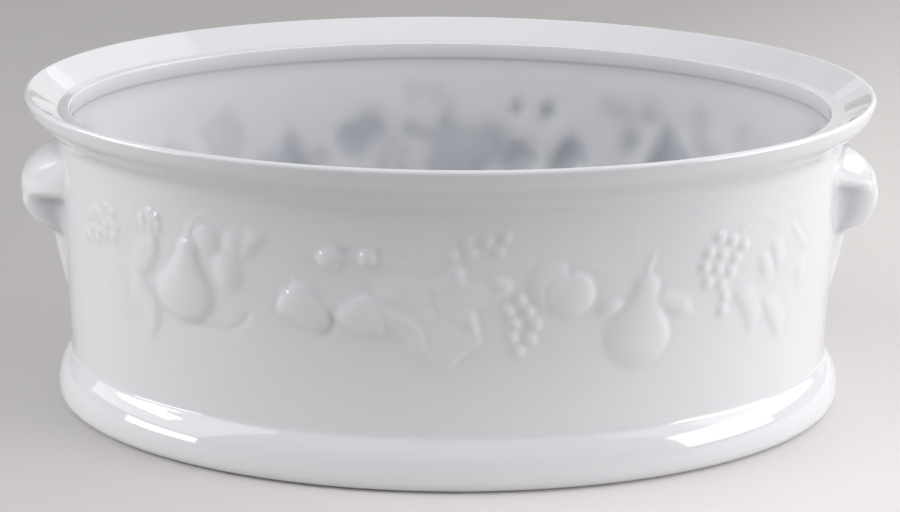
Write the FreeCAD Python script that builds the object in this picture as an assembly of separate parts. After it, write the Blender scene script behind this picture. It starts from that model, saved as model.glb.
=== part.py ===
"""Oval porcelain casserole dish with a lid seat, two ear lugs and a moulded garland of fruit.

Millimetres, +Z up. The origin is on the table, under the middle of the dish. +X runs along the
length to the right-hand lug, and the front of the dish faces -Y. The whole dish is one casting.
"""
import math
import os

import FreeCAD
import Part

from FreeCAD import Rotation, Vector

# Overall sizes
length = 300.0            # over the rim, without the lugs
width = 200.0             # over the rim
height = 115.5            # table to the top of the lip
facet_sag = 0.85          # roundings are flats that leave the true arc by less than this

# Wall of the body; an inset is how far something lies inside the rim's outline
wall_inside_inset = 15.3  # inside of the wall, and the inner edge of the lid seat
wall_top_inset = 10.4     # outside of the wall, just under the flare
wall_foot_inset = 12.2    # outside of the wall, where it meets the foot band
floor_thickness = 6.0     # table side to the inside of the dish
floor_corner = 11.0       # inside corner between wall and floor

# Foot band
foot_inset = 6.6          # widest point of the band
foot_height = 18.3        # where the band meets the wall
foot_slope = 46.0         # lean of the band's shoulder from upright, degrees
foot_round = 18.0         # swell of the band
foot_under = 4.2          # rounding down to the table
foot_ring_width = 7.0     # unglazed ring that the dish stands on
underside_recess = 3.0    # how far the underside stands clear of the table

# Rim
flare_height = 14.3       # lip down to the foot of the flare
flare_edge_height = 7.0   # the upright edge of the rim
flare_edge_inset = 1.3    # how far the edge leans in at its lower end
flare_cove = 8.0
flare_round = 9.0
lip_radius = 1.25
lip_slope = 37.0          # fall of the inside of the lip towards the lid seat, degrees
seat_depth = 7.0          # lip down to the lid seat

# Ear lugs, one at each end: turned about an upright axis that lies inside the wall
lug_axis_inset = 17.0     # the upright axis, inside the rim's end
lug_middle = 4.5          # radius of the flat middle that the lug's rounding starts from
lug_round = 16.3          # the rounding, from its top over its nose to its underside
lug_flats = 5             # flats that make the rounding
lug_drop = 23.7           # foot of the flare down to the lug's nose
lug_wall = 6.0            # left between the lug's nose and the hollow behind it
lug_hollow_height = 17.0
lug_hollow_half_width = 12.0
lug_tail_drop = 37.7      # foot of the flare down to the top of the tail under a lug
lug_tail_length = 21.0
lug_tail_relief = 5.0
lug_tail_half_width = 10.0

# Garland: how far its forms stand out of the wall
garland_drop = 34.2       # foot of the flare down to the garland's middle line
fruit_relief = 2.8
leaf_relief = 1.3
grape_relief = 1.5
grape_radius = 2.5
bunch_relief = 0.5        # web that joins the grapes of a bunch
fruit_sides = 8
grape_sides = 5
web_sides = 8
# Steps of a dome from inside the wall to its top: share of the half width, share of the relief
fruit_steps = [(1.12, -0.6), (0.8, 0.65), (0.4, 1.0)]
grape_steps = [(1.0, 0.0), (0.55, 1.0)]

# Places in the garland: along the wall from the front's middle, then above the middle line.
# A fruit runs from a wide end to a narrow end, each with its half width.
pears = [
    ((-93.0, -4.0, 11.3), (-90.5, 12.5, 3.2)),
    ((62.2, -14.7, 12.3), (65.0, 5.5, 3.2)),
]
apples = [
    ((33.3, 7.2, 9.0), (34.3, 8.2, 8.8)),
    ((38.7, 2.9, 8.7), (39.0, 1.9, 8.5)),
]
strawberries = [
    ((-50.3, -2.8, 8.2), (-44.0, -8.6, 4.0)),
    ((-30.2, -4.8, 7.0), (-26.0, -10.0, 3.4)),
]
# A leaf runs from its stalk to its tip and has a half width.
leaves = [
    ((-127.0, -8.0), (-103.5, 12.5), 7.5),
    ((-125.0, -1.0), (-106.0, -24.5), 8.5),
    ((-89.0, 19.5), (-76.0, 14.0), 5.0),
    ((-76.5, 10.8), (-73.0, -1.5), 5.0),
    ((-75.0, 13.5), (-62.6, 19.6), 3.4),
    ((-44.0, 16.5), (-34.5, 15.0), 3.8),
    ((-31.5, 17.0), (-24.5, 15.8), 3.2),
    ((45.0, -6.0), (58.5, 0.5), 3.6),
    ((68.5, -2.5), (84.0, -11.8), 4.2),
    ((99.5, -5.0), (108.5, -20.5), 4.5),
    ((112.5, -11.0), (121.0, -26.0), 4.0),
    ((112.8, 10.5), (120.5, -3.5), 4.2),
]
# The vine leaf is a ring of points round its peak, lobes and notches in turn.
vine_peak = (-4.0, 1.0)
vine_outline = [
    (-1.5, -22.8), (6.5, -12.0), (9.5, -11.0), (7.0, -2.0), (17.0, 7.0), (6.0, 7.5),
    (0.5, 11.5), (-8.0, 8.0), (-24.6, 8.0), (-19.5, -2.0), (-16.5, -6.5), (-8.6, -14.5),
]
# Each row of a bunch is its first grape and how many follow on; the web goes round them all.
bunches = [
    [(22.3, 0.6, 1), (18.5, -2.8, 2), (20.4, -7.5, 2), (19.8, -12.4, 2), (22.1, -17.5, 1)],
    [(91.9, 16.2, 3), (87.9, 11.4, 3), (86.4, 6.3, 3), (88.0, 0.5, 2), (95.1, -5.6, 1), (94.9, -10.8, 1)],
]
grape_pitch = 5.6
grape_row_fall = (7.0, 21.0)   # degrees, one for each bunch

# Worked out from the sizes above
wall_top = height - flare_height
garland_line = wall_top - garland_drop
core_inset = (width ** 2 / (2 * length) + wall_inside_inset + floor_corner) / 2


def quarter_arcs():
    """Arcs of the eight-centred oval from the +X end to the +Y side: centre, radius, directions."""
    a, b = length / 2, width / 2
    end, shoulder, side = b * b / a, math.sqrt(a * b), a * a / b
    end_centre = (a - end, 0.0)
    side_centre = (0.0, b - side)
    # the shoulder's centre lies where its arc touches both neighbours
    reach_end, reach_side = shoulder - end, side - shoulder
    gap = math.dist(end_centre, side_centre)
    along = (gap ** 2 + reach_end ** 2 - reach_side ** 2) / (2 * gap)
    across = math.sqrt(reach_end ** 2 - along ** 2)
    ux, uy = (side_centre[0] - end_centre[0]) / gap, (side_centre[1] - end_centre[1]) / gap
    centre = (end_centre[0] + ux * along + uy * across, end_centre[1] + uy * along - ux * across)
    low = math.atan2(end_centre[1] - centre[1], end_centre[0] - centre[0])
    high = math.atan2(centre[1] - side_centre[1], centre[0] - side_centre[0])
    upright = math.pi / 2
    return [(end_centre, end, 0.0, low), (centre, shoulder, low, high), (side_centre, side, high, upright)]


def oval_arcs():
    """The whole oval: two ends, two sides and four shoulders."""
    (end, end_radius, _, low), (shoulder, radius, _, high), (side, side_radius, _, _) = quarter_arcs()
    arcs = []
    for sign, turn in ((1, 0.0), (-1, math.pi)):
        half_way = turn + math.pi
        arcs.append(((sign * end[0], 0.0), end_radius, turn - low, turn + low))
        arcs.append(((sign * shoulder[0], sign * shoulder[1]), radius, turn + low, turn + high))
        arcs.append(((0.0, sign * side[1]), side_radius, turn + high, half_way - high))
        arcs.append(((-sign * shoulder[0], sign * shoulder[1]), radius, half_way - high, half_way - low))
    return arcs


def rounded(corners):
    """Points of an outline through corners (inset, z, radius), small flats rounding each corner."""
    points = []
    count = len(corners)
    for i, (x, z, radius) in enumerate(corners):
        here = Vector(x, 0, z)
        if radius == 0:
            points.append(here)
            continue
        before = Vector(corners[i - 1][0], 0, corners[i - 1][1])
        after = Vector(corners[(i + 1) % count][0], 0, corners[(i + 1) % count][1])
        back, on = (before - here).normalize(), (after - here).normalize()
        half = back.getAngle(on) / 2
        centre = here + (back + on).normalize() * (radius / math.sin(half))
        start = here + back * (radius / math.tan(half)) - centre
        stop = here + on * (radius / math.tan(half)) - centre
        turn = math.pi - 2 * half
        flats = max(1, math.ceil(turn / (2 * math.acos(max(0.0, 1 - facet_sag / radius)))))
        for k in range(flats + 1):
            share = turn * k / flats
            points.append(centre + start * (math.sin(turn - share) / math.sin(turn))
                          + stop * (math.sin(share) / math.sin(turn)))
    return points


def around_oval(outline):
    """Body of the outline, points given as (inset, 0, z), swept round the oval with its middle filled."""
    solids = []
    edges = []
    heights = [point.z for point in outline if point.x == core_inset]
    bottom, top = min(heights), max(heights)
    for (x, y), radius, start, stop in oval_arcs():
        corners = [Vector(radius - point.x, 0, point.z) for point in outline]
        face = Part.Face(Part.makePolygon(corners + corners[:1]))
        face.rotate(Vector(0, 0, 0), Vector(0, 0, 1), math.degrees(start))
        face.translate(Vector(x, y, 0))
        solids.append(face.revolve(Vector(x, y, 0), Vector(0, 0, 1), math.degrees(stop - start)))
        circle = Part.Circle(Vector(x, y, bottom), Vector(0, 0, 1), radius - core_inset)
        edges.append(Part.ArcOfCircle(circle, start, stop).toShape())
    core = Part.Face(Part.Wire(edges)).extrude(Vector(0, 0, top - bottom))
    return core.fuse(solids).removeSplitter()


def wall_inset(z):
    """Inset of the outside of the wall at a height."""
    share = (z - foot_height) / (wall_top - foot_height)
    return wall_foot_inset + share * (wall_top_inset - wall_foot_inset)


def outer_body():
    """The dish without its inside: foot ring, foot band, wall, flare, lip and lid seat."""
    fall = math.radians(lip_slope)
    shoulder = foot_height - (wall_foot_inset - foot_inset) / math.tan(math.radians(foot_slope))
    ring_inner = foot_inset + foot_under + foot_ring_width
    seat = height - seat_depth
    lip = []
    for angle in (math.pi, math.pi / 2, math.pi / 2 - fall):
        lip.append((lip_radius * (1 + math.cos(angle)), height - lip_radius * (1 - math.sin(angle)), 0))
    slope_end = lip[-1][0] + (lip[-1][1] - seat) / math.tan(fall)
    return around_oval(rounded([
        (core_inset, underside_recess, 0),
        (ring_inner + underside_recess, underside_recess, 0),
        (ring_inner, 0, 0),
        (foot_inset, 0, foot_under),
        (foot_inset, shoulder, foot_round),
        (wall_foot_inset, foot_height, 0),
        (wall_top_inset, wall_top, flare_cove),
        (flare_edge_inset, height - flare_edge_height, flare_round),
        *lip,
        (slope_end, seat, 0),
        (core_inset, seat, 0),
    ]))


def inside():
    """The inside of the dish, up past the lid seat."""
    return around_oval(rounded([
        (core_inset, floor_thickness, 0),
        (wall_inside_inset, floor_thickness, floor_corner),
        (wall_inside_inset, height, 0),
        (core_inset, height, 0),
    ]))


def lug():
    """The right-hand lug, turned about its upright axis."""
    middle = wall_top - lug_drop
    # the flats lie against the rounding's outside, so the nose keeps its full reach
    corner_radius = lug_round / math.cos(math.pi / (2 * lug_flats))
    outline = []
    for k in range(lug_flats + 1):
        angle = math.pi * (k / lug_flats - 0.5)
        reach = lug_middle + corner_radius * math.cos(angle)
        outline.append(Vector(reach, 0, middle + corner_radius * math.sin(angle)))
    outline = [Vector(0, 0, outline[0].z), *outline, Vector(0, 0, outline[-1].z)]
    solid = Part.Face(Part.makePolygon(outline + outline[:1])).revolve(Vector(0, 0, 0), Vector(0, 0, 1), 360)
    solid.translate(Vector(length / 2 - lug_axis_inset, 0, 0))
    return solid


def lug_hollow():
    """The hollow behind the right-hand lug, open to the inside of the dish."""
    (x, _), radius, _, _ = quarter_arcs()[0]
    middle = wall_top - lug_drop
    back = radius - wall_inside_inset - floor_corner
    nose = length / 2 - lug_axis_inset + lug_middle + lug_round - lug_wall - x
    half_height = lug_hollow_height / 2
    mouth = radius - wall_top_inset
    outline = [
        Vector(back, 0, middle - half_height),
        Vector(mouth, 0, middle - half_height),
        Vector(nose, 0, middle),
        Vector(mouth, 0, middle + half_height),
        Vector(back, 0, middle + half_height),
    ]
    half_turn = math.degrees(lug_hollow_half_width / radius)
    face = Part.Face(Part.makePolygon(outline + outline[:1]))
    face.rotate(Vector(0, 0, 0), Vector(0, 0, 1), -half_turn)
    hollow = face.revolve(Vector(0, 0, 0), Vector(0, 0, 1), 2 * half_turn)
    hollow.translate(Vector(x, 0, 0))
    return hollow


def on_wall(along, z):
    """Point on the outside of the wall and the way it faces, along the wall from the front's middle."""
    inset = wall_inset(z)
    left = abs(along)
    for (x, y), radius, start, stop in reversed(quarter_arcs()):
        run = (radius - inset) * (stop - start)
        angle = stop - left / (radius - inset)
        if left <= run:
            break
        left -= run
    side = math.copysign(1, along)
    facing = Vector(side * math.cos(angle), -math.sin(angle), 0)
    return Vector(side * x, -y, z) + facing * (radius - inset), facing


def wall_seat(along, rise, turn=0.0):
    """Placement that carries the XY plane onto the wall, turned by the given degrees from level."""
    point, facing = on_wall(along, garland_line + rise)
    level = Vector(0, 0, 1).cross(facing)
    placed = Rotation(level, Vector(0, 0, 1), facing, "XYZ") * Rotation(Vector(0, 0, 1), turn)
    return FreeCAD.Placement(point, placed)


def peaked(outline, peak, relief):
    """A leaf: flats that rise from the outline, sunk in the wall, to one peak on its rib."""
    top = Vector(0, 0, relief)
    base = [Vector(x - peak[0], y - peak[1], -relief / 2) for x, y in outline]
    faces = [Part.Face(Part.makePolygon(base + base[:1]))]
    for k in range(len(base)):
        faces.append(Part.Face(Part.makePolygon([base[k - 1], base[k], top, base[k - 1]])))
    solid = Part.Solid(Part.Shell(faces))
    solid.Placement = wall_seat(*peak)
    return solid


def leaf(stalk, tip, half_width):
    """A pointed leaf from its stalk to its tip."""
    run = math.dist(stalk, tip)
    ux, uy = (tip[0] - stalk[0]) / run, (tip[1] - stalk[1]) / run
    outline = []
    for share, side in ((0.0, 0.0), (0.25, 0.9), (0.6, 0.85), (1.0, 0.0), (0.6, -0.85), (0.25, -0.9)):
        outline.append((stalk[0] + ux * run * share - uy * half_width * side,
                        stalk[1] + uy * run * share + ux * half_width * side))
    middle = (stalk[0] + 0.42 * run * ux, stalk[1] + 0.42 * run * uy)
    return peaked(outline, middle, leaf_relief)


def bunch(rows, fall):
    """A bunch of grapes on the web that joins them."""
    grapes = []
    for along, rise, count in rows:
        for k in range(count):
            grapes.append((along + grape_pitch * k * math.cos(math.radians(fall)),
                           rise - grape_pitch * k * math.sin(math.radians(fall))))
    middle = (sum(x for x, _ in grapes) / len(grapes), sum(y for _, y in grapes) / len(grapes))
    # the web's corners are the outermost grapes in evenly spread directions
    web = []
    for k in range(web_sides):
        ux, uy = math.cos(2 * math.pi * k / web_sides), math.sin(2 * math.pi * k / web_sides)
        x, y = max(grapes, key=lambda grape: grape[0] * ux + grape[1] * uy)
        corner = Vector(x + grape_radius * ux, y + grape_radius * uy, -bunch_relief)
        web.append(corner - Vector(*middle, 0))
    seat = wall_seat(*middle)
    plate = Part.Face(Part.makePolygon(web + web[:1])).extrude(Vector(0, 0, 2 * bunch_relief))
    plate.Placement = seat
    forms = [plate]
    disc = (0.0, 0.0, grape_radius)
    for x, y in grapes:
        form = dome(disc, disc, grape_relief, grape_relief, grape_sides, grape_steps)
        place = Vector(x, y, bunch_relief) - Vector(*middle, 0)
        form.Placement = seat.multiply(FreeCAD.Placement(place, Rotation()))
        forms.append(form)
    return forms


def dome(wide, narrow, wide_relief, narrow_relief, sides, steps):
    """A faceted dome over the outline that holds two discs, with its ridge from one to the other."""
    (x0, y0, r0), (x1, y1, r1) = wide, narrow
    run = math.dist((x0, y0), (x1, y1))
    fall = (narrow_relief - wide_relief) / run if run else 0.0
    rings = []
    for share, level in steps:
        ring = []
        for k in range(sides):
            angle = 2 * math.pi * (k + 0.5) / sides
            on_narrow = run * math.cos(angle) + share * (r1 - r0) > 0
            radius = share * (r1 if on_narrow else r0)
            x = (run if on_narrow else 0.0) + radius * math.cos(angle)
            ring.append(Vector(x - run / 2, radius * math.sin(angle), level * (wide_relief + fall * x)))
        rings.append(ring)
    flats = [rings[0], rings[-1]]
    for lower, upper in zip(rings, rings[1:]):
        for k in range(sides):
            a, b, c, d = lower[k - 1], lower[k], upper[k], upper[k - 1]
            if run:
                flats += [[a, b, c], [a, c, d]]
            else:
                flats.append([a, b, c, d])
    faces = [Part.Face(Part.makePolygon(flat + flat[:1])) for flat in flats]
    return Part.Solid(Part.Shell(faces))


def fruit(wide, narrow, wide_relief, narrow_relief, sides, steps):
    """A fruit, bud or tail on the wall, from its wide end to its narrow end."""
    solid = dome(wide, narrow, wide_relief, narrow_relief, sides, steps)
    turn = math.degrees(math.atan2(narrow[1] - wide[1], narrow[0] - wide[0]))
    solid.Placement = wall_seat((wide[0] + narrow[0]) / 2, (wide[1] + narrow[1]) / 2, turn)
    return solid


def garland():
    """Forms of the front's garland, standing out of the wall and sunk into it."""
    forms = [peaked(vine_outline, vine_peak, leaf_relief)]
    for wide, narrow in pears:
        forms.append(fruit(wide, narrow, fruit_relief, 0.6 * fruit_relief, fruit_sides, fruit_steps))
    for wide, narrow in apples:
        forms.append(fruit(wide, narrow, fruit_relief, fruit_relief, fruit_sides, fruit_steps))
    for wide, narrow in strawberries:
        forms.append(fruit(wide, narrow, 0.9 * fruit_relief, 0.6 * fruit_relief, fruit_sides, fruit_steps))
    for stalk, tip, half_width in leaves:
        forms.append(leaf(stalk, tip, half_width))
    for rows, fall in zip(bunches, grape_row_fall):
        forms += bunch(rows, fall)
    return forms


def lug_tail():
    """The tail under the right-hand lug, which runs out down the wall."""
    inset = wall_inset(garland_line)
    end = sum((radius - inset) * (stop - start) for _, radius, start, stop in quarter_arcs())
    top = wall_top - lug_tail_drop - garland_line
    bottom = top - lug_tail_length
    wide = (end, top, lug_tail_half_width)
    narrow = (end, bottom, 0.4 * lug_tail_half_width)
    return fruit(wide, narrow, lug_tail_relief, 0.25 * lug_tail_relief, fruit_sides, fruit_steps)


def both_ways(forms):
    """The forms and their copies turned to the other side of the dish."""
    copies = []
    for form in forms:
        copy = form.copy()
        copy.rotate(Vector(0, 0, 0), Vector(0, 0, 1), 180)
        copies.append(copy)
    return forms + copies


def casserole_dish():
    """The whole casting."""
    raised = both_ways(garland() + [lug(), lug_tail()])
    return outer_body().fuse(raised).cut(inside().fuse(both_ways([lug_hollow()])))


if __name__ == "__main__":
    os.makedirs("parts", exist_ok=True)
    dish = casserole_dish()
    print("solids", len(dish.Solids), "volume", round(dish.Volume), "box", dish.BoundBox)
    dish.exportStep("parts/casserole_dish.step")
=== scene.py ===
import math

import bpy
import numpy as np
from mathutils import Matrix, Vector


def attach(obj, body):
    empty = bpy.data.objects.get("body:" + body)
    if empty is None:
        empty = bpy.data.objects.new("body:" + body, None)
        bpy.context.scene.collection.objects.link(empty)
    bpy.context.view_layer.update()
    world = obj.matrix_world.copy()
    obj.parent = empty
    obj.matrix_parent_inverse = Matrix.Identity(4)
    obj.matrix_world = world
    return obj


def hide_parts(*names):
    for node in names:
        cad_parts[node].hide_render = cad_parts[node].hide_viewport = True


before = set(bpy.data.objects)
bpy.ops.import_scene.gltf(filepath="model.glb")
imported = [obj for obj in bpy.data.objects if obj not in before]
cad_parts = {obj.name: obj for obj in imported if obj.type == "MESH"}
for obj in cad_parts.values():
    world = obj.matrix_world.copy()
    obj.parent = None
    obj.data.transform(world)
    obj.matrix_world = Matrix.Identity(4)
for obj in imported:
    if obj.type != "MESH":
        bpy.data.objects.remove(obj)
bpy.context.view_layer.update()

# the dish in millimetres, as the section of the solid gives it
half_length = 150.0
half_width = 100.0
height = 115.5
lip_radius = 1.25
lip_fall = 37.0
seat_height = 108.5
seat_inner_inset = 15.3
collar_foot = 102.4
flare_tilt = 50.0
flare_round = 9.0
flare_cove = 8.0
edge_tilt = 12.0
edge_foot = (0.5, 112.2)
edge_top = (0.25, 113.15)
wall_top = 97.4
wall_foot = 19.5
wall_top_inset = 10.4
wall_foot_inset = 12.2
wall_bow = 1.4
wall_thickness = 4.3
foot_inset = 6.65
foot_swell = 18.5
foot_cove = 3.2
foot_under = 4.2
foot_middle = 5.0
tread_outer_inset = 12.6
tread_inner_inset = 17.8
recess = 3.0
recess_inset = 24.0
floor_height = 6.0
floor_corner = 11.0

# the mesh: columns round the dish and the band that carries the relief
fine, middle, coarse = 960, 480, 240
band_foot, band_top, band_rows = 36.0, 95.6, 63

# the sheet of relief: its half length from the front's middle to a lug's middle, and its grid
quarter_wall = 181.04
even_line_inset = 11.0
grain = 0.3
deepest_groove = 1.3

# how much of the relief is left under the glaze, and how soft its edges are
glaze_fill = 0.54
edge_softness = 0.72
crease_softness = 2.2
hollow_softness = 2.6
hollow_share = 0.72
back_softness = 2.0
back_share = 1.1

# how dark the painted shade on the glaze is: along creases, under the lugs, under the collar and in the
# hollows inside
crease_shade = 1.5
lug_shade = 1.3
collar_shade = 1.6
collar_reach = 4.6
hollow_shade = 1.3


# the oval
def oval(turn, inset):
    """Points on the rim's oval, moved in by inset along the normal at each turn."""
    c, s = np.cos(turn), np.sin(turn)
    n = np.sqrt((half_length * c) ** 2 + (half_width * s) ** 2)
    return half_length ** 2 * c / n - inset * c, half_width ** 2 * s / n - inset * s


def even_turns(count):
    """Normal directions evenly spaced along the wall, from the left end round the front."""
    turn = np.linspace(-math.pi, 0, 4001)
    x, y = oval(turn, even_line_inset)
    run = np.concatenate([[0], np.cumsum(np.hypot(np.diff(x), np.diff(y)))])
    half = np.interp(np.linspace(0, run[-1], count // 2, endpoint=False), run, turn)
    return np.concatenate([half, half + math.pi])


def wall_inset(z):
    """How far the outer wall stands in from the rim's outline at height z."""
    share = np.clip((z - wall_foot) / (wall_top - wall_foot), 0, 1)
    return wall_foot_inset - (wall_foot_inset - wall_top_inset) * share ** wall_bow


# the relief, drawn on the wall as a sheet: along from the front's middle, up the wall
class Sheet:
    """Heights of the relief over the plain wall on a grid of wall places."""

    def __init__(self):
        self.along = np.arange(-quarter_wall, quarter_wall + grain, grain)
        self.rise = np.arange(28.0, 100.0, grain)
        self.s, self.z = np.meshgrid(self.along, self.rise)
        self.h = np.zeros_like(self.s)
        # painted shade for the scooped flanks under the lugs, filled in by draw_lugs
        self.shade_painted = np.zeros_like(self.s)

    def window(self, points, margin=4.0):
        """The part of the sheet round some points."""
        p = np.asarray(points, float)
        lo, hi = p.min(0) - margin, p.max(0) + margin
        cols = np.flatnonzero((self.along >= lo[0]) & (self.along <= hi[0]))
        rows = np.flatnonzero((self.rise >= lo[1]) & (self.rise <= hi[1]))
        return np.s_[rows[0]:rows[-1] + 1, cols[0]:cols[-1] + 1]

    def raise_to(self, part, heights):
        self.h[part] = np.maximum(self.h[part], heights)

    def groove(self, part, depths):
        self.h[part] = np.maximum(self.h[part] - depths, -deepest_groove)

    def soften(self, size):
        """The sheet's heights after a blur of this size in millimetres."""
        k = np.arange(-int(3 * size / grain) - 1, int(3 * size / grain) + 2)
        bell = np.exp(-0.5 * (k * grain / size) ** 2)
        bell /= bell.sum()
        pad = len(k) // 2
        wide = np.pad(self.h, ((pad, pad), (0, 0)), mode="edge")
        up = np.apply_along_axis(lambda c: np.convolve(c, bell, mode="valid"), 0, wide)
        wide = np.pad(up, ((0, 0), (pad, pad)), mode="wrap")
        return np.apply_along_axis(lambda r: np.convolve(r, bell, mode="valid"), 1, wide)


def smooth_line(points, closed=False, steps=8):
    """A flowing line through points."""
    p = np.asarray(points, float)
    ring = np.vstack([p[-1], p, p[:2]]) if closed else np.vstack([2 * p[0] - p[1], p, 2 * p[-1] - p[-2]])
    t = np.linspace(0, 1, steps, endpoint=False)[:, None]
    line = []
    for a, b, c, d in zip(ring[:-3], ring[1:-2], ring[2:-1], ring[3:]):
        line.append(0.5 * (2 * b + (c - a) * t + (2 * a - 5 * b + 4 * c - d) * t ** 2
                           + (3 * b - a - 3 * c + d) * t ** 3))
    if not closed:
        line.append(p[-1:])
    return np.vstack(line)


def line_distance(s, z, line):
    """Distance to a line, the share of its length there, and the side: 1 on its left, -1 on its right."""
    near = np.full(s.shape, 1e9)
    where = np.zeros(s.shape)
    side = np.zeros(s.shape)
    for k, (a, b) in enumerate(zip(line[:-1], line[1:])):
        es, ez = b - a
        ds, dz = s - a[0], z - a[1]
        t = np.clip((ds * es + dz * ez) / (es * es + ez * ez + 1e-9), 0, 1)
        far = np.hypot(ds - t * es, dz - t * ez)
        nearer = far < near
        where = np.where(nearer, (k + t) / (len(line) - 1), where)
        side = np.where(nearer, np.sign(es * dz - ez * ds), side)
        near = np.minimum(near, far)
    return near, where, side


def depth_inside(s, z, line):
    """How far inside a closed line each place is, nought outside."""
    near = line_distance(s, z, np.vstack([line, line[:1]]))[0]
    inside = np.zeros(s.shape, bool)
    for a, b in zip(line, np.roll(line, -1, 0)):
        cross = (a[1] > z) != (b[1] > z)
        inside ^= cross & (s < (b[0] - a[0]) * (z - a[1]) / (b[1] - a[1] + 1e-12) + a[0])
    return np.where(inside, near, 0)


def pillow(depth, reach, rise):
    """A rounded swelling that reaches its full rise at a depth of reach."""
    t = 1 - np.clip(depth / reach, 0, 1)
    return rise * np.sqrt(np.clip(1 - t * t, 0, 1))


# pieces of the garland
def berries(sheet, places, radius, rise):
    """Small round berries or grapes."""
    for place in places:
        part = sheet.window([place], radius + 1)
        far = np.hypot(sheet.s[part] - place[0], sheet.z[part] - place[1])
        sheet.raise_to(part, rise * np.sqrt(np.clip(1 - (far / radius) ** 2, 0, 1)))


def stem(sheet, points, width, rise):
    """A stalk, tendril or ribbon edge, thinner towards its end."""
    line = smooth_line(points)
    part = sheet.window(line)
    near, where = line_distance(sheet.s[part], sheet.z[part], line)[:2]
    half = width * (1 - 0.45 * where) / 2
    sheet.raise_to(part, rise * np.sqrt(np.clip(1 - (near / half) ** 2, 0, 1)))


def fold(sheet, points, left, right, rise):
    """A leaf's fold: a crest along the line, its two slopes as wide as given."""
    line = smooth_line(points)
    part = sheet.window(line, max(left, right) + 1)
    s, z = sheet.s[part], sheet.z[part]
    near, where, side = line_distance(s, z, line)
    wide = np.where(side > 0, left, right)
    ends = np.clip(4 * where * (1 - where) + 0.25, 0, 1)
    t = np.clip(near / (wide * ends), 0, 1)
    sheet.raise_to(part, rise * ends * (1 - t * t) ** 1.5)


def bump(sheet, place, size, turn, rise):
    """An oval bud or a leaf's swelling."""
    part = sheet.window([place], max(size) + 1)
    ds, dz = sheet.s[part] - place[0], sheet.z[part] - place[1]
    c, s = math.cos(math.radians(turn)), math.sin(math.radians(turn))
    t = np.hypot((c * ds + s * dz) / size[0], (c * dz - s * ds) / size[1])
    sheet.raise_to(part, rise * np.clip(1 - t * t, 0, 1) ** 1.1)


def soft_body(sheet, points, reach, rise, flowing=True):
    """A fruit's body from its outline."""
    line = smooth_line(points, True) if flowing else np.asarray(points, float)
    part = sheet.window(line)
    depth = depth_inside(sheet.s[part], sheet.z[part], line)
    sheet.raise_to(part, pillow(depth, reach, rise))


def trench(sheet, points, width, depth, closed=False):
    """A groove along a line, where one form lies over another."""
    line = smooth_line(points, closed)
    part = sheet.window(line)
    near = line_distance(sheet.s[part], sheet.z[part], line)[0]
    sheet.groove(part, depth * np.exp(-(near / width) ** 2))


def leaf(sheet, points, rise, veins):
    """A leaf: a thin swelling with a raised middle and sunk veins."""
    line = np.asarray(points, float)
    part = sheet.window(line)
    s, z = sheet.s[part], sheet.z[part]
    depth = depth_inside(s, z, line)
    edge_reach, crown_reach, vein_width, vein_depth = 3.2, 7.5, 0.75, 0.42
    body = pillow(depth, edge_reach, 0.5 * rise) + pillow(depth, crown_reach, 0.5 * rise)
    for vein in veins:
        near, where = line_distance(s, z, smooth_line(vein, steps=4))[:2]
        body -= vein_depth * rise * np.exp(-(near / vein_width) ** 2) * (1 - 0.6 * where)
    sheet.raise_to(part, np.clip(body, 0, None) * (depth > 0))


def pear(sheet, bulb, radius, neck, neck_radius, rise):
    """A pear: a round bulb drawn out to a narrow neck, steeper on its right side."""
    bulb, neck = np.array(bulb, float), np.array(neck, float)
    run = np.hypot(*(neck - bulb))
    part = sheet.window([bulb, neck], radius + 3)
    s, z = sheet.s[part], sheet.z[part]
    ux, uz = (neck - bulb) / run
    along = np.clip(((s - bulb[0]) * ux + (z - bulb[1]) * uz) / run, 0, 1)
    over, up = s - bulb[0] - along * run * ux, z - bulb[1] - along * run * uz
    waist = radius + (neck_radius - radius) * (along * along * (3 - 2 * along)) ** 0.8
    t = np.clip(np.hypot(over, up) / waist, 0, 1)
    lean = 0.75 - 0.3 * np.clip(over / waist, -1, 1)
    sheet.raise_to(part, rise * (0.26 + 0.74 * waist / radius) * (1 - t * t) ** lean)


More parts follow.
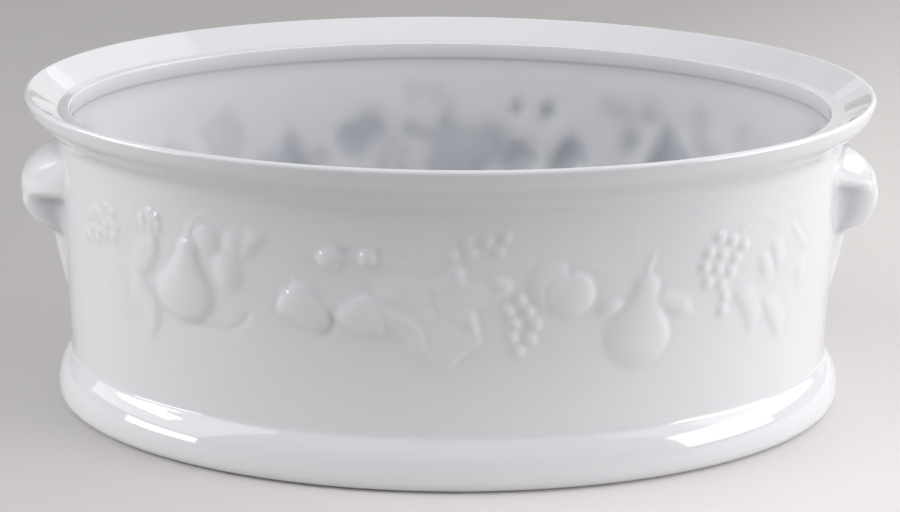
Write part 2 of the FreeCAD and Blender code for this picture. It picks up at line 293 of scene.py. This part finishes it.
def draw_left_side(sheet):
    """Berries, the first pear and the leaves round it."""
    berries(sheet, [(-136.1, 79.9), (-132.7, 82.6), (-129.9, 81.2), (-126.1, 85.4), (-123.1, 84.3),
                    (-135.3, 75.7), (-137.8, 72.1), (-131.1, 75.8), (-127.4, 78.6), (-123.9, 80.9),
                    (-121.5, 79.3), (-122.9, 75.4), (-127.2, 75), (-132.1, 72.3)], 1.8, 1.3)
    berries(sheet, [(-108.7, 86.2), (-105.5, 88.2), (-102.7, 87), (-108.1, 83.5), (-104.9, 85.2),
                    (-102, 83.6), (-105.6, 81.9), (-104, 79.7)], 1.45, 1.7)
    fold(sheet, [(-103.6, 80.6), (-104.9, 73.9), (-108.8, 67.7), (-115.5, 64.2)], 2.4, 10.0, 1.15)
    fold(sheet, [(-114.5, 65.0), (-110.1, 61.9), (-106, 57.1), (-104.7, 51.2), (-107.6, 41.8)],
         2.4, 11.0, 1.25)
    fold(sheet, [(-128.5, 63.5), (-122.5, 60.5), (-118.5, 54.0), (-118.8, 47.0)], 4.0, 6.0, 0.6)
    bump(sheet, (-82.8, 83.0), (6.0, 5.4), -35, 1.7)
    bump(sheet, (-75.6, 72.4), (5.6, 7.6), 15, 2.0)
    bump(sheet, (-73.0, 82.2), (4.8, 6.4), -15, 1.4)
    fold(sheet, [(-61.8, 87.2), (-66.0, 83.0), (-70.4, 77.6)], 2.2, 6.0, 1.3)
    pear(sheet, (-92.8, 62.6), 11.5, (-90.6, 78.8), 3.8, 3.6)
    stem(sheet, [(-90.3, 82), (-89, 86.9), (-85.1, 90.4), (-79.8, 91.3), (-77.4, 88.3)], 1.5, 0.9)
    trench(sheet, [(-100.3, 54.6), (-93, 51.4), (-86.1, 51.6), (-80.6, 51.6), (-75.6, 51.8), (-71.6, 54.0),
                   (-68.6, 58.0)], 0.75, 1.2)


def draw_middle(sheet):
    """Strawberries, buds, the vine leaf and its berries."""
    for tip in ([(-57.6, 73.4), (-53.2, 70.5), (-55.3, 69.2)], [(-51.6, 75), (-50.4, 70.9), (-53.2, 70.6)],
                [(-60.2, 68.2), (-54.6, 69.8), (-54.7, 67.4)], [(-46.3, 74), (-48.9, 70.6), (-50.8, 71)]):
        soft_body(sheet, tip, 1.2, 0.9, flowing=False)
    soft_body(sheet, [(-57.9, 61.8), (-55.8, 68), (-49.6, 71.9), (-43.6, 66.8), (-40.3, 59.6),
                      (-43.9, 55.2), (-49.8, 56.7), (-55.2, 59.6)], 8.2, 3.3)
    for tip in ([(-38.4, 66.6), (-34, 65), (-35.7, 62.6)], [(-33.6, 70.4), (-31.6, 66.4), (-33.9, 66)],
                [(-40.2, 61.5), (-35.9, 62.6), (-36.2, 60)]):
        soft_body(sheet, tip, 1.1, 0.9, flowing=False)
    soft_body(sheet, [(-37.3, 61.7), (-32.4, 67.6), (-26, 68.8), (-21.3, 61), (-22.8, 54.9),
                      (-28.8, 54.6), (-34.7, 58.2)], 7.4, 3.2)
    trench(sheet, [(-44.4, 69.6), (-41.6, 64.0), (-39.2, 58.8), (-41.4, 54.6)], 1.5, 1.5)
    trench(sheet, [(-23.6, 70.0), (-20.6, 64.0), (-20.2, 59.0), (-21.6, 54.2)], 1.3, 1.5)
    bump(sheet, (-39.8, 81.2), (5.0, 4.4), -12, 3.0)
    trench(sheet, [(-34.8, 83.4), (-33.6, 80.6), (-34.6, 78.6)], 1.7, 1.6)
    bump(sheet, (-27.4, 82.0), (3.4, 3.6), 0, 3.2)
    trench(sheet, [(-24.0, 84.0), (-23.4, 81.8), (-24.0, 79.6)], 1.3, 1.3)
    trench(sheet, [(-22.4, 77.6), (-17.4, 81.9), (-11.2, 86.3)], 0.8, 0.9)
    vine = [(-11.3, 57.8), (-8.9, 51.2), (-2.1, 43.8), (3, 49.7), (8.9, 54.3), (5.3, 60.3), (6.2, 64.2),
            (15.7, 68.3), (17.5, 74.1), (12.8, 73.7), (5.7, 74.6), (0.8, 78.6), (-4.6, 75.8),
            (-10.4, 74.3), (-14.5, 76.4), (-19.4, 76.3), (-25, 73.5), (-20.6, 64.4), (-15.7, 61)]
    leaf(sheet, vine, 1.5, [[(-7.1, 70.5), (-4.8, 60), (-2.2, 47)], [(-7.1, 69.5), (2, 70), (14.5, 71.5)],
                            [(-7.1, 69.5), (-14, 70.5), (-22.5, 72.5)], [(-6.4, 66), (-0.5, 60.5), (6, 55.5)],
                            [(-6.8, 66.5), (-12, 64.5), (-17, 63.5)]])
    fold(sheet, vine[16:] + vine[:3], 1.7, 6.5, 2.4)
    stem(sheet, vine[2:5], 3.0, 1.8)
    fold(sheet, [(8.4, 55.0), (5.6, 60.3), (6.2, 64.8)], 2.2, 2.6, 2.3)
    bump(sheet, (-20.2, 68.6), (4.8, 4.8), 20, 2.3)
    bump(sheet, (1.2, 76.4), (3.2, 4.4), 10, 2.4)
    bump(sheet, (15.6, 72.8), (4.8, 3.8), -10, 2.4)
    berries(sheet, [(4.5, 88.6), (10.9, 88.4), (16.9, 89.8), (-0.2, 83.6), (5.9, 83.9), (14.8, 84.5)],
            2.0, 1.8)
    stem(sheet, [(-11, 78.3), (-4, 81.6), (5, 80.6), (14, 81.4), (21.5, 79)], 1.1, 0.5)


def draw_right_side(sheet):
    """Grapes, apples, the second pear, its leaves and the ribbon."""
    berries(sheet, [(22.3, 67.6), (18.2, 64.2), (24.9, 63.3), (20.2, 59.5), (27.4, 58.9), (19.7, 54.6),
                    (25.8, 53.9), (21.9, 49.8)], 2.1, 2.0)
    for place, radius, rise in (((33.2, 72.6), 8.5, 2.4), ((38.9, 69.2), 8.2, 2.9)):
        ring = [(place[0] + (radius + 0.5) * math.cos(a), place[1] + (radius + 0.5) * math.sin(a))
                for a in np.linspace(0, 2 * math.pi, 24, endpoint=False)]
        trench(sheet, ring, 0.8, 0.8, True)
        soft_body(sheet, [(place[0] + radius * math.cos(a), place[1] + 0.97 * radius * math.sin(a))
                          for a in np.linspace(0, 2 * math.pi, 16, endpoint=False)], radius, rise)
    trench(sheet, [(38.9, 79.6), (38.2, 76.6)], 1.1, 1.3)
    bump(sheet, (52.6, 63.6), (5.2, 3.2), 20, 1.9)
    fold(sheet, [(67.8, 65.2), (74.2, 62.0), (82.4, 57.4)], 6.0, 3.0, 1.5)
    pear(sheet, (62.4, 52.6), 12.0, (65.0, 69.6), 4.6, 3.3)
    stem(sheet, [(65.4, 72), (65.6, 76.5), (67.4, 81)], 1.6, 1.2)
    stem(sheet, [(43.5, 88.5), (51.5, 91.5), (58.5, 92.6), (60.8, 89.5)], 1.1, 0.45)
    stem(sheet, [(34.5, 83.5), (42, 84.6), (49.2, 81)], 1.1, 0.45)
    stem(sheet, [(14.5, 79.4), (23, 79.6), (30.5, 83.5), (44, 78.6), (55, 75.8), (60, 80.6), (60.3, 86.5),
                 (58.6, 90)], 1.3, 0.5)
    soft_body(sheet, [(86.4, 79.6), (92, 84.6), (102, 79.6), (99.6, 70), (96.4, 55), (93.4, 56), (87, 67)],
              3.0, 0.3)
    berries(sheet, [(91.9, 83.2), (96.9, 81.1), (102, 78.2), (87.9, 78.4), (93.2, 77), (99.1, 74.3),
                    (86.4, 73.3), (91.8, 71.9), (97.2, 69.9), (88, 67.5), (93.7, 66), (95.1, 61.4),
                    (94.9, 56.2)], 2.25, 1.6)
    fold(sheet, [(99.6, 62.4), (103.4, 58.6), (106.4, 52.6), (108.4, 45.6)], 7.0, 2.6, 1.15)
    fold(sheet, [(113.2, 57.0), (116.6, 52.0), (120.0, 46.0), (123.0, 40.4)], 6.5, 2.6, 1.15)
    fold(sheet, [(115.4, 77.0), (117.8, 72.6), (119.0, 66.4)], 5.0, 2.2, 1.1)
    fold(sheet, [(129.6, 66.0), (132.4, 61.2), (133.0, 56.0)], 5.0, 3.0, 0.8)
    bump(sheet, (113.0, 69.0), (3.4, 6.0), 25, 1.2)
    stem(sheet, [(126.0, 80.0), (131.2, 74.9), (135.0, 70.0)], 2.0, 0.7)
    stem(sheet, [(100.5, 84), (108.5, 88), (116, 84.5), (123.5, 87.5), (131, 84)], 1.4, 0.7)


def eased(share):
    """Goes smoothly from 0 to 1 with the share."""
    share = np.clip(share, 0, 1)
    return share * share * (3 - 2 * share)


def draw_lugs(sheet):
    """The lug at each end: a dome over a scooped flank, cut off below, with a tail down the wall."""
    far = np.maximum(quarter_wall - np.abs(sheet.s), 0)
    z = sheet.z

    # the nose: part of a circle in the section, cut off at its foot
    nose_middle, nose_radius, nose_sunk, cut_height = 77.6, 16.0, 1.2, 4.5
    nose = np.sqrt(np.clip(nose_radius ** 2 - (z - nose_middle) ** 2, 0, None)) - nose_sunk

    # on the left-hand lug the flank's ridge and foot lie lower
    share = np.clip(far / 22.0, 0, 1.2) ** 1.6
    low = sheet.s < 0
    ridge = np.where(low, 74.6 + 5.2 * share, 79.6 + 7.2 * share)
    foot = np.where(low, 62.0 - 3.0 * share, 62.4 + 4.0 * share)
    nose = np.clip(nose, 0, None) * eased((z - foot) / cut_height)

    # the dome above the ridge and the scooped flanks below it
    dome_half, skirt_half, skirt_share, ridge_height = 24.0, 19.0, 0.14, 2.2
    dome = np.clip(1 - (far / dome_half) ** 2, 0, 1) ** 1.3
    flank = 10.2 + 0.05 * (z - 60.0)
    skirt = skirt_share * np.clip(1 - (far / skirt_half) ** 2, 0, 1) ** 2
    scoop = (1 - skirt_share) / (1 + (far / flank) ** 11) + skirt
    over = eased((z - ridge) / ridge_height + 0.5)
    lug = nose * (over * dome + (1 - over) * scoop)

    # the tail down the wall
    tail_start, tail_length, tail_width, tail_rise = 66.0, 29.0, 11.5, 4.9
    down = np.clip((tail_start - z) / tail_length, 0, 1)
    tail_half = tail_width * np.sqrt(np.clip(1 - down ** 1.7, 1e-6, 1))
    across = np.sqrt(np.clip(1 - (far / tail_half) ** 2, 0, 1))
    tail = tail_rise * (1 - down) ** 0.75 * across * (z < tail_start + 6.0)

    body = np.maximum(lug, tail)
    sheet.h = np.where(body > 0, np.maximum(sheet.h, body), sheet.h)
    # painted shade in the scooped flank below the ridge, darkest at the scoop's middle
    scoop_middle, scoop_width = 12.5, 6.5
    in_scoop = np.clip(1.3 - np.abs(far - scoop_middle) / scoop_width, 0, 1)
    sheet.shade_painted = (nose > 1) * (1 - over) * in_scoop


def pick(values, sheet, s, z):
    """The sheet's values at places on the wall."""
    x = np.clip((s - sheet.along[0]) / grain, 0, len(sheet.along) - 1.001)
    y = np.clip((z - sheet.rise[0]) / grain, 0, len(sheet.rise) - 1.001)
    i, j = x.astype(int), y.astype(int)
    fx, fy = x - i, y - j
    return ((values[j, i] * (1 - fx) + values[j, i + 1] * fx) * (1 - fy)
            + (values[j + 1, i] * (1 - fx) + values[j + 1, i + 1] * fx) * fy)


# the dish's mesh
class Shell:
    """One closed skin made of rings from the middle of the foot to the middle of the floor."""

    def __init__(self, turns):
        self.turns = turns
        self.points, self.faces, self.pool = [], [], []
        self.last = None

    def count_points(self):
        return sum(len(p) for p in self.points)

    def ring(self, inset, z, count, scale=1.0, pool=0.0):
        """Adds a ring of count points and joins it to the ring before it."""
        step = fine // count
        turn = self.turns[::step]
        inset = np.broadcast_to(np.asarray(inset, float), turn.shape)
        x, y = oval(turn, inset)
        start = self.count_points()
        self.points.append(np.stack([x * scale, y * scale, np.full(count, float(z))], 1))
        # painted shade at each point of the ring
        self.pool.append(np.broadcast_to(np.asarray(pool, float), turn.shape))
        if self.last:
            self.join(*self.last, start, count)
        self.last = (start, count)

    def join(self, below, below_count, above, above_count):
        """Joins two rings, of the same count or of one a whole multiple of the other."""
        if below_count == above_count:
            k = np.arange(above_count)
            n = (k + 1) % above_count
            self.faces += np.stack([below + k, below + n, above + n, above + k], 1).tolist()
            return
        few, many = min(below_count, above_count), max(below_count, above_count)
        ratio = many // few
        for k in range(few):
            far = (k + 1) % few
            for m in range(ratio):
                a, b = k * ratio + m, (k * ratio + m + 1) % many
                corner = k if m < (ratio + 1) // 2 else far
                if below_count > above_count:
                    self.faces.append([below + a, below + b, above + corner])
                else:
                    self.faces.append([below + corner, above + b, above + a])
            m = (ratio + 1) // 2
            a = k * ratio + m
            if below_count > above_count:
                self.faces.append([below + a, above + far, above + k])
            else:
                self.faces.append([below + k, below + far, above + a])

    def fan(self, start, count, z, turn=1):
        """Closes a ring with a fan to a point on the axis, and faces down where turn is -1."""
        tip = self.count_points()
        self.points.append(np.array([[0.0, 0.0, z]]))
        self.pool.append(np.zeros(1))
        for k in range(count):
            self.faces.append([start + k, start + (k + 1) % count][::turn] + [tip])


def arc(centre, radius, first, last, steps):
    """Section points on an arc: 0 degrees faces out of the dish, 90 up, 180 in."""
    angles = np.radians(np.linspace(first, last, steps + 1))
    return [(centre[0] - radius * math.cos(a), centre[1] + radius * math.sin(a)) for a in angles]


def outer_foot_section():
    """From the tread of the foot ring to the start of the wall."""
    join = math.acos((foot_inset + foot_swell + foot_cove - wall_foot_inset) / (foot_swell + foot_cove))
    tilt = math.degrees(join)
    section = arc((foot_inset + foot_under, foot_under), foot_under, -82, 0, 7)
    section += arc((foot_inset + foot_swell, foot_middle), foot_swell, 0, tilt, 13)
    cove_centre = (wall_foot_inset - foot_cove, foot_middle + (foot_swell + foot_cove) * math.sin(join))
    section += [(cove_centre[0] + foot_cove * math.cos(a), cove_centre[1] - foot_cove * math.sin(a))
                for a in np.linspace(join, 0, 6)[1:]]
    return section


def flare_section():
    """From the top of the wall through the cove, the slope and the edge to the lip."""
    slope = math.radians(flare_tilt)
    edge = math.radians(edge_tilt)
    section = [(wall_top_inset - flare_cove * (1 - math.cos(a)), wall_top + flare_cove * math.sin(a))
               for a in np.linspace(0, slope, 9)]
    low = (edge_foot[0] + flare_round * math.cos(edge), edge_foot[1] + flare_round * math.sin(edge))
    section += [(low[0] - flare_round * math.cos(a), low[1] - flare_round * math.sin(a))
                for a in np.linspace(slope, edge, 9)]
    section.append(edge_top)
    return section


def rim_section():
    """Over the lip, down to the flat seat for a lid and under its collar."""
    centre = (lip_radius, height - lip_radius)
    section = arc(centre, lip_radius, -9, 90 + lip_fall, 12)
    slope = math.tan(math.radians(lip_fall))
    start = section[-1]
    run = (start[1] - seat_height) / slope
    for share in (0.12, 0.5, 0.9):
        section.append((start[0] + share * run, start[1] - share * run * slope))
    corner, edge = 1.6, 0.55
    dip = (start[0] + run + corner * math.tan(math.radians(lip_fall) / 2), seat_height + corner)
    section += [(dip[0] - corner * math.sin(a), dip[1] - corner * math.cos(a))
                for a in np.radians(np.linspace(lip_fall, 0, 5))]
    section.append((seat_inner_inset - edge - 1.0, seat_height))
    section += [(seat_inner_inset - edge + edge * math.sin(a), seat_height - edge + edge * math.cos(a))
                for a in np.radians(np.linspace(0, 90, 6))]
    section += [(seat_inner_inset, 106.0), (seat_inner_inset, collar_foot + 0.9)]
    inner = wall_top_inset + wall_thickness
    section += [(seat_inner_inset - 0.1, collar_foot + 0.3), (0.5 * (seat_inner_inset + inner), collar_foot),
                (inner + 0.05, collar_foot - 0.35), (inner, collar_foot - 1.2), (inner, 98.5)]
    return section


def make_dish():
    """The whole dish as one skin."""
    sheet = Sheet()
    draw_left_side(sheet)
    draw_middle(sheet)
    draw_right_side(sheet)
    behind = back_share * sheet.soften(back_softness)
    sheet.h *= glaze_fill
    draw_lugs(sheet)
    relief = sheet.soften(edge_softness)
    broad = sheet.soften(crease_softness)
    hollow = np.maximum(hollow_share * sheet.soften(hollow_softness), behind)

    along = np.tile(np.linspace(-quarter_wall, quarter_wall, fine // 2, endpoint=False), 2)
    shell = Shell(even_turns(fine))

    # the recessed underside and the tread of the foot ring
    for scale in (0.3, 0.62, 0.86):
        shell.ring(recess_inset + 2.0, recess + 0.25 * (1 - scale), coarse, scale)
    shell.ring(recess_inset, recess, coarse)
    for beyond, z in ((3.2, recess - 0.1), (2.0, recess - 0.7), (1.2, recess - 1.7), (0.6, 0.35), (0, 0.05)):
        shell.ring(tread_inner_inset + beyond, z, coarse)
    shell.ring(0.5 * (tread_inner_inset + tread_outer_inset), 0.0, coarse)
    shell.ring(tread_outer_inset, 0.0, coarse)
    for inset, z in outer_foot_section():
        shell.ring(inset, z, coarse)
    for z in (23.0, 28.0, 32.5):
        shell.ring(wall_inset(z), z, coarse)
    shell.ring(wall_inset(34.8), 34.8, middle)

    # the band of relief
    for z in np.linspace(band_foot, band_top, band_rows):
        rise = pick(relief, sheet, along, np.full(fine, z))
        # painted shade: darker in the relief's creases and in the scooped flanks under the lugs
        crease = pick(broad, sheet, along, np.full(fine, z)) - rise
        shade_under_lug = pick(sheet.shade_painted, sheet, along, np.full(fine, z))
        pool = np.clip(crease_shade * crease, -1, 1) + lug_shade * shade_under_lug
        shell.ring(wall_inset(z) - rise, z, fine, pool=pool)
    shell.ring(wall_inset(96.5), 96.5, middle)
    for inset, z in flare_section():
        shell.ring(inset, z, coarse)
    for inset, z in rim_section():
        # painted shade under the lid seat's collar, fading within collar_reach of its foot
        shade_under_collar = max(0.0, 1 - abs(z - collar_foot) / collar_reach)
        shell.ring(inset, z, coarse, pool=collar_shade * shade_under_collar)

    # the inner wall with the hollows behind the relief
    half_along = along[::fine // middle]
    for z in np.linspace(96.4, 37.0, 22):
        dip = pick(hollow, sheet, half_along, np.full(middle, z))
        # painted shade in the hollows inside, darker where they dip deeper
        shell.ring(wall_inset(z) + wall_thickness - dip, z, middle, pool=np.clip(hollow_shade * dip, 0, 2.4))
    inner = wall_foot_inset + wall_thickness
    for z in (30.0, 22.0):
        shell.ring(wall_inset(z) + wall_thickness, z, coarse)
    bend = floor_height + floor_corner
    for a in np.radians(np.linspace(0, 90, 10)):
        shell.ring(inner + floor_corner * (1 - math.cos(a)), bend - floor_corner * math.sin(a), coarse)
    for scale in (0.95, 0.75, 0.5, 0.25):
        shell.ring(inner + floor_corner, floor_height, coarse, scale)
    shell.fan(*shell.last, floor_height)

    # the middle of the underside
    shell.fan(0, coarse, recess + 0.3, -1)

    mesh = bpy.data.meshes.new("porcelain_dish")
    mesh.from_pydata((np.vstack(shell.points) * 0.001).tolist(), [], shell.faces)
    mesh.validate()
    mesh.shade_smooth()
    # the painted shade goes to the material as a point attribute
    shade_painted = mesh.attributes.new("painted_shade", "FLOAT", "POINT")
    shade_painted.data.foreach_set("value", np.concatenate(shell.pool).astype(np.float32))
    mesh.update()
    dish = bpy.data.objects.new("porcelain_dish", mesh)
    bpy.context.scene.collection.objects.link(dish)
    return dish


# finishes
class Wire:
    """A socket whose arithmetic adds Math nodes."""

    def __init__(self, tree, socket):
        self.tree, self.socket = tree, socket

    def math(self, operation, *values):
        return self.node("ShaderNodeMath", {"operation": operation}, dict(enumerate((self,) + values)))

    def node(self, kind, settings, values, out=0):
        """Adds any node: its settings first, then the values or links of its sockets."""
        node = self.tree.nodes.new(kind)
        for name, value in settings.items():
            setattr(node, name, value)
        for name, value in values.items():
            if isinstance(value, Wire):
                self.tree.links.new(value.socket, node.inputs[name])
            else:
                node.inputs[name].default_value = value
        return Wire(self.tree, node.outputs[out])

    def __add__(self, other):
        return self.math("ADD", other)

    def __sub__(self, other):
        return self.math("SUBTRACT", other)

    def __mul__(self, other):
        return self.math("MULTIPLY", other)

    def __rsub__(self, other):
        return self.node("ShaderNodeMath", {"operation": "SUBTRACT"}, {0: other, 1: self})

    __radd__ = __add__

    def clamp(self):
        return self.node("ShaderNodeClamp", {}, {"Value": self})

    def mix(self, low, high):
        """Goes from the low colour to the high one as this value goes from 0 to 1."""
        return self.node("ShaderNodeMix", {"data_type": "RGBA"}, {0: self, 6: low, 7: high}, 2)


def new_material(name):
    material = bpy.data.materials.new(name)
    material.use_nodes = True
    tree = material.node_tree
    shader = tree.nodes["Principled BSDF"]
    return material, tree, shader


def glazed_porcelain():
    """White porcelain under a clear glossy glaze, darkened by painted shade from the mesh, bare and matt on
    the foot ring's tread.
    """
    material, tree, shader = new_material("glazed_porcelain")
    place = Wire(tree, tree.nodes.new("ShaderNodeTexCoord").outputs["Object"])
    parts = place.node("ShaderNodeSeparateXYZ", {}, {0: place})
    z = Wire(tree, parts.socket.node.outputs["Z"])
    cloud = place.node("ShaderNodeTexNoise", {}, {"Vector": place, "Scale": 14.0, "Detail": 3.0,
                                                  "Roughness": 0.5})
    ripple = place.node("ShaderNodeTexNoise", {}, {"Vector": place, "Scale": 90.0, "Detail": 2.0,
                                                   "Roughness": 0.45})
    grit = place.node("ShaderNodeTexNoise", {}, {"Vector": place, "Scale": 1500.0, "Detail": 2.0,
                                                 "Roughness": 0.6})
    # the painted shade from the mesh
    shade_painted = Wire(tree, place.node("ShaderNodeAttribute", {"attribute_name": "painted_shade"},
                                     {}).socket.node.outputs["Fac"])
    # the bare tread ends within half a millimetre of the ground
    tread_fade = 2200.0
    bare = (1.0 - z * tread_fade).clamp()
    white_low, white_high = (0.712, 0.714, 0.744, 1), (0.732, 0.733, 0.758, 1)
    # the grey-blue that the painted shade darkens the glaze towards
    painted_shade_colour = (0.520, 0.535, 0.575, 1)
    biscuit_low, biscuit_high = (0.60, 0.585, 0.56, 1), (0.68, 0.67, 0.65, 1)
    tone = (cloud * 0.7 + 0.15).clamp()
    # painted shade mixes the glaze's white towards that grey-blue
    painted_dark_share = (shade_painted * 0.4).clamp()
    glazed = painted_dark_share.mix(tone.mix(white_low, white_high), painted_shade_colour)
    colour = bare.mix(glazed, grit.mix(biscuit_low, biscuit_high))
    tree.links.new(colour.socket, shader.inputs["Base Color"])
    gloss = 0.055 + cloud * 0.05
    rough = gloss * (1.0 - bare) + bare * 0.72
    tree.links.new(rough.socket, shader.inputs["Roughness"])
    wave = (1.0 - bare) * ripple * 0.35 + bare * grit
    bump = place.node("ShaderNodeBump", {}, {"Strength": 0.10, "Distance": 0.0006, "Height": wave})
    tree.links.new(bump.socket, shader.inputs["Normal"])
    shader.inputs["IOR"].default_value = 1.5
    tree.links.new(((1.0 - bare) * 0.75).socket, shader.inputs["Coat Weight"])
    shader.inputs["Coat Roughness"].default_value = 0.03
    return material


def table_paper():
    """The plain pale sheet under the dish, with painted light falling off from the front right to the back
    left, and darker close to the viewer.
    """
    material, tree, shader = new_material("table_paper")
    place = Wire(tree, tree.nodes.new("ShaderNodeTexCoord").outputs["Object"])
    parts = place.node("ShaderNodeSeparateXYZ", {}, {0: place})
    x = Wire(tree, parts.socket.node.outputs["X"])
    y = Wire(tree, parts.socket.node.outputs["Y"])
    back_left, front_right = (0.425, 0.410, 0.402, 1), (0.745, 0.718, 0.707, 1)
    close_by = (0.34, 0.325, 0.32, 1)
    # painted light falloff across the sheet: darker to the back left, lighter to the front right
    painted_light_falloff = (0.63 + x * 1.8 - y * 1.5).clamp()
    near = (-2.1 - y * 16.0).clamp()
    colour = near.mix(painted_light_falloff.mix(back_left, front_right), close_by)
    tree.links.new(colour.socket, shader.inputs["Base Color"])
    shader.inputs["Roughness"].default_value = 0.85
    return material


def place_lamp(name, azimuth, elevation, distance, size, power):
    """A soft rectangular lamp that faces the dish, its azimuth counted from straight behind to the right."""
    az, el = math.radians(azimuth), math.radians(elevation)
    aim = Vector((0, 0, 0.05))
    lamp = bpy.data.lights.new(name, "AREA")
    lamp.shape = "RECTANGLE"
    lamp.size, lamp.size_y = size
    lamp.energy = power
    thing = bpy.data.objects.new(name, lamp)
    spot = distance * Vector((math.sin(az) * math.cos(el), math.cos(az) * math.cos(el), math.sin(el)))
    thing.location = spot
    thing.rotation_euler = (aim - spot).to_track_quat("-Z", "Y").to_euler()
    bpy.context.scene.collection.objects.link(thing)


def place_camera():
    """The camera at the photograph's angle."""
    distance, fall, yaw, roll = 0.81726, math.radians(20.07), math.radians(0.67), math.radians(0.59)
    aim_side, aim_height = 0.00023, 0.05091
    focal_length, picture_width, sensor = 2246.3, 900, 36.0
    data = bpy.data.cameras.new("camera")
    data.sensor_width = sensor
    data.lens = focal_length / picture_width * sensor
    data.clip_start = 0.01
    camera = bpy.data.objects.new("camera", data)
    stand = Vector((aim_side, -distance * math.cos(fall), aim_height + distance * math.sin(fall)))
    camera.matrix_world = (Matrix.Rotation(-yaw, 4, "Z") @ Matrix.Translation(stand)
                           @ Matrix.Rotation(math.pi / 2 - fall, 4, "X") @ Matrix.Rotation(roll, 4, "Z"))
    bpy.context.scene.collection.objects.link(camera)
    bpy.context.scene.camera = camera


def make_stage():
    """The pale floor that sweeps up behind, and the soft lamps."""
    front, bend_start, bend, top, half_across = -2.2, 1.2, 0.6, 2.4, 2.6
    section = [(front, 0.0), (bend_start, 0.0)]
    section += [(bend_start + bend * math.sin(a), bend - bend * math.cos(a))
                for a in np.radians(np.linspace(10, 90, 9))]
    section.append((bend_start + bend, top))
    points = [(x, y, z) for y, z in section for x in (-half_across, half_across)]
    faces = [(2 * k, 2 * k + 1, 2 * k + 3, 2 * k + 2) for k in range(len(section) - 1)]
    mesh = bpy.data.meshes.new("sweep")
    mesh.from_pydata(points, [], faces)
    mesh.shade_smooth()
    sweep = bpy.data.objects.new("sweep", mesh)
    mesh.materials.append(table_paper())
    bpy.context.scene.collection.objects.link(sweep)

    place_lamp("right_front_lamp", 113, 17.5, 1.25, (0.68, 0.54), 6.0)
    place_lamp("right_lamp", 88, 32, 1.25, (1.0, 0.8), 3.6)
    place_lamp("right_back_lamp", 72, 42, 1.5, (3.0, 1.6), 13.5)
    place_lamp("left_lamp", -96, 31, 1.25, (0.56, 0.18), 3.6)
    place_lamp("left_wide_lamp", -100, 33, 1.25, (1.2, 0.9), 5.2)
    place_lamp("left_low_lamp", -112, 6, 1.25, (0.56, 0.20), 2.2)
    place_lamp("top_strip", 180, 72, 1.3, (1.6, 0.36), 2.6)
    place_lamp("back_panel", 20, 20, 1.7, (2.4, 1.0), 3.6)
    place_lamp("back_left_panel", -25, 38, 1.7, (1.6, 0.8), 1.2)

    world = bpy.data.worlds.new("room")
    world.use_nodes = True
    background = world.node_tree.nodes["Background"]
    background.inputs["Color"].default_value = (0.96, 0.98, 1.0, 1)
    background.inputs["Strength"].default_value = 0.26
    bpy.context.scene.world = world


dish = make_dish()
dish.data.materials.append(glazed_porcelain())
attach(dish, "root")
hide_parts("casserole_dish")
make_stage()
place_camera()
bpy.context.scene.view_settings.view_transform = "Standard"
